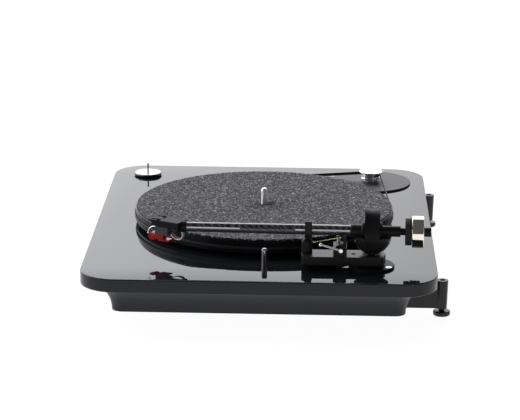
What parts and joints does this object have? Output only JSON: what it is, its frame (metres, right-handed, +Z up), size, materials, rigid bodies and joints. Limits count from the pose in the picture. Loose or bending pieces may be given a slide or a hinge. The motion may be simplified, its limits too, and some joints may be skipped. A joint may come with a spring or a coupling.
{
  "type": "turntable record player",
  "caption": "Flat belt-drive record player: round-cornered plinth on a hollow-sided base, felt-covered platter, straight tone arm with drum weight, speed knob, lid hinge sockets.",
  "frame": {"origin": "centre of the outline at the feet's underside", "axes": "+X to the arm side, +Y to the rear where the lid hinges are, +Z up"},
  "size_m": [0.484, 0.4018, 0.123],
  "materials": {
    "board": "gloss black lacquer",
    "base": "satin black",
    "cover": "textured black panel",
    "rubber": "moulded black rubber",
    "steel": "turned steel",
    "chrome": "polished",
    "brass": "turned",
    "bronze": "sintered",
    "platter": "gloss black enamel",
    "felt": "pressed grey felt",
    "plate": "satin dark grey",
    "belt": "ground rubber",
    "knob": "spun aluminium",
    "arm_black": "satin black plastic",
    "arm_metal": "black anodised",
    "carbon": "lacquered carbon fibre",
    "weight": "polished drum",
    "cartridge": "satin grey-black",
    "red": "clear red plastic",
    "leads": "four coloured leads",
    "circuit": "green circuit board",
    "lift_finger": "bright metal strip"
  },
  "bodies": {
    "chassis": {"plinth_board": "board", "base_frame": "base", "bottom_cover": "cover", "cover_screws": "steel", "rubber_feet": "rubber", "foot_screws": "steel", "bearing_housing": "steel", "bearing_nut": "steel", "bearing_bush": "bronze", "thrust_ball": "steel", "motor": "steel", "motor_ring": "rubber", "motor_plate": "plate", "drive_belt": "belt", "control_board": "circuit", "board_spacers": "brass", "speed_switch": "arm_black", "adapter_post": "chrome", "arm_flange": "arm_metal", "arm_flange_screws": "steel", "arm_nut": "steel", "arm_bushes": "bronze", "arm_block": "arm_metal", "rest_column": "arm_black", "rest_clip": "arm_black", "lift_housing": "arm_black", "antiskate_bracket": "arm_black", "antiskate_rod": "brass", "hinge_sockets": "arm_black", "rear_terminals": "arm_black"},
    "platter": {"platter": "platter", "felt_mat": "felt", "spindle": "chrome"},
    "pulley": {"pulley": "chrome", "motor_shaft": "steel"},
    "yoke": {"bearing_ring": "arm_metal", "ring_covers": "arm_metal", "pivot_shaft": "steel", "pivot_screws": "arm_metal"},
    "arm": {"arm_hub": "arm_metal", "arm_tube": "carbon", "arm_collar": "arm_black", "rear_stub": "arm_black", "headshell": "arm_black", "finger_lift": "lift_finger", "cartridge": "cartridge", "cartridge_screws": "steel", "cartridge_leads": "leads"},
    "stylus": {"stylus_unit": "red"},
    "weight_bush": {"weight_bush": "arm_black"},
    "counterweight": {"counterweight": "weight"},
    "weight_dial": {"weight_dial": "arm_black"},
    "lift_lever": {"lift_lever": "chrome"},
    "lift": {"lift_piston": "steel", "lift_bar": "arm_black"},
    "speed_knob": {"speed_knob": "knob", "knob_ring": "arm_black", "knob_pin": "steel"},
    "hinge_knob_left": {"hinge_knob_left": "arm_black"},
    "hinge_knob_right": {"hinge_knob_right": "arm_black"}
  },
  "joints": [
    {"name": "platter_spin", "type": "hinge", "parent": "chassis", "child": "platter", "pos_m": [0.0035, -0.00792, 0.0575], "axis": [0, 0, -1], "continuous": true},
    {"name": "pulley_spin", "type": "hinge", "parent": "chassis", "child": "pulley", "pos_m": [-0.174, 0.11908, 0.0575], "axis": [0, 0, -1], "continuous": true},
    {"name": "arm_swing", "type": "hinge", "parent": "chassis", "child": "yoke", "pos_m": [0.18, 0.11388, 0.0575], "axis": [0, 0, -1], "range_deg": [0, 40]},
    {"name": "arm_lift", "type": "hinge", "parent": "yoke", "child": "arm", "pos_m": [0.18, 0.11388, 0.098], "axis": [-0.9997, 0.0227, 0], "range_deg": [0, 8]},
    {"name": "stylus_pull", "type": "slide", "parent": "arm", "child": "stylus", "axis": [-0.4587, -0.8886, 0], "range_m": [0, 0.008]},
    {"name": "weight_slide", "type": "slide", "parent": "arm", "child": "weight_bush", "axis": [0.0227, 0.9997, 0], "range_m": [-0.003, 0.003]},
    {"name": "weight_turn", "type": "hinge", "parent": "weight_bush", "child": "counterweight", "pos_m": [0.18113, 0.16386, 0.098], "axis": [0.0227, 0.9997, 0], "range_deg": [-720, 720]},
    {"name": "dial_turn", "type": "hinge", "parent": "counterweight", "child": "weight_dial", "pos_m": [0.18091, 0.15387, 0.098], "axis": [0.0227, 0.9997, 0], "range_deg": [-180, 180]},
    {"name": "lever_turn", "type": "hinge", "parent": "chassis", "child": "lift_lever", "pos_m": [0.195, 0.08007, 0.0805], "axis": [1, 0, 0], "range_deg": [0, 40]},
    {"name": "lift_drop", "type": "slide", "parent": "chassis", "child": "lift", "axis": [0, 0, -1], "range_m": [0, 0.006]},
    {"name": "knob_turn", "type": "hinge", "parent": "chassis", "child": "speed_knob", "pos_m": [-0.194, -0.15893, 0.0575], "axis": [0, 0, -1], "range_deg": [0, 60]},
    {"name": "left_tension", "type": "hinge", "parent": "chassis", "child": "hinge_knob_left", "pos_m": [-0.1756, 0.19157, 0.0075], "axis": [0, 0, 1], "range_deg": [-180, 180]},
    {"name": "right_tension", "type": "hinge", "parent": "chassis", "child": "hinge_knob_right", "pos_m": [0.1756, 0.19157, 0.0075], "axis": [0, 0, 1], "range_deg": [-180, 180]}
  ],
  "couplings": [
    {"joint": "pulley_spin", "follows": "platter_spin", "ratio": 14.19},
    {"joint": "weight_turn", "follows": "weight_slide", "rad_per_m": 4188.8},
    {"joint": "lever_turn", "follows": "lift_drop", "rad_per_m": 116.36}
  ]
}
